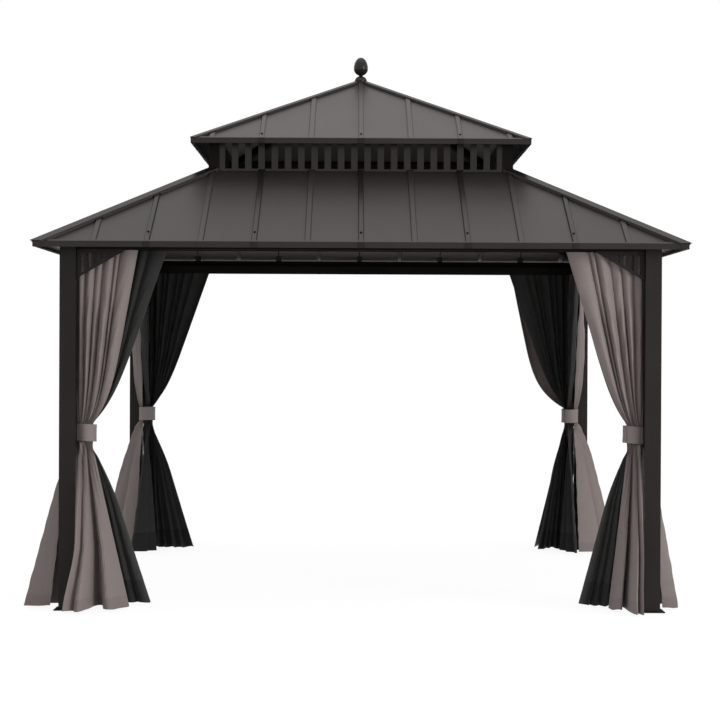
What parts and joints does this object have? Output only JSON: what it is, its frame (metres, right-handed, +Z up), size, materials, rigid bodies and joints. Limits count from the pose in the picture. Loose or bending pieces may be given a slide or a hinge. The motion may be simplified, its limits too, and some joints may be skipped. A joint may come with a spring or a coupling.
{
  "type": "metal gazebo",
  "caption": "Square hardtop gazebo with a two-tier ribbed hip roof, a slotted vent storey, corner brackets, and curtains and netting tied back at the posts.",
  "frame": {"origin": "middle of the square plan at ground level", "axes": "+Z up, -Y towards the front view, +X to its right"},
  "size_m": [3.838, 3.838, 3.3973],
  "materials": {
    "frame": "satin powder coat",
    "roof_sheet": "satin powder coat",
    "curtain": "woven, matt",
    "netting": "fine mesh"
  },
  "bodies": {
    "root": {"post_fl": "frame", "post_fr": "frame", "post_rl": "frame", "post_rr": "frame", "foot_plates": "frame", "beam_front": "frame", "beam_right": "frame", "beam_rear": "frame", "beam_left": "frame", "curtain_rails": "frame", "bracket_fl": "frame", "bracket_fr": "frame", "bracket_rl": "frame", "bracket_rr": "frame", "roof_clips": "frame", "lower_hip_caps": "frame", "lower_eave_trim": "frame", "lower_hip_rafters": "frame", "vent_sill": "frame", "vent_corners": "frame", "vent_header": "frame", "vent_panel_front": "frame", "vent_panel_right": "frame", "vent_panel_rear": "frame", "vent_panel_left": "frame", "upper_hip_caps": "frame", "upper_eave_trim": "frame", "upper_hip_rafters": "frame", "finial": "frame", "lower_roof_front": "roof_sheet", "lower_roof_right": "roof_sheet", "lower_roof_rear": "roof_sheet", "lower_roof_left": "roof_sheet", "lower_seams": "roof_sheet", "upper_roof": "roof_sheet", "upper_ribs": "roof_sheet", "curtains_fl": "curtain", "curtains_fr": "curtain", "curtains_rl": "curtain", "curtains_rr": "curtain", "tie_backs": "curtain", "nets_fl": "netting", "nets_fr": "netting", "nets_rl": "netting", "nets_rr": "netting"}
  },
  "joints": []
}
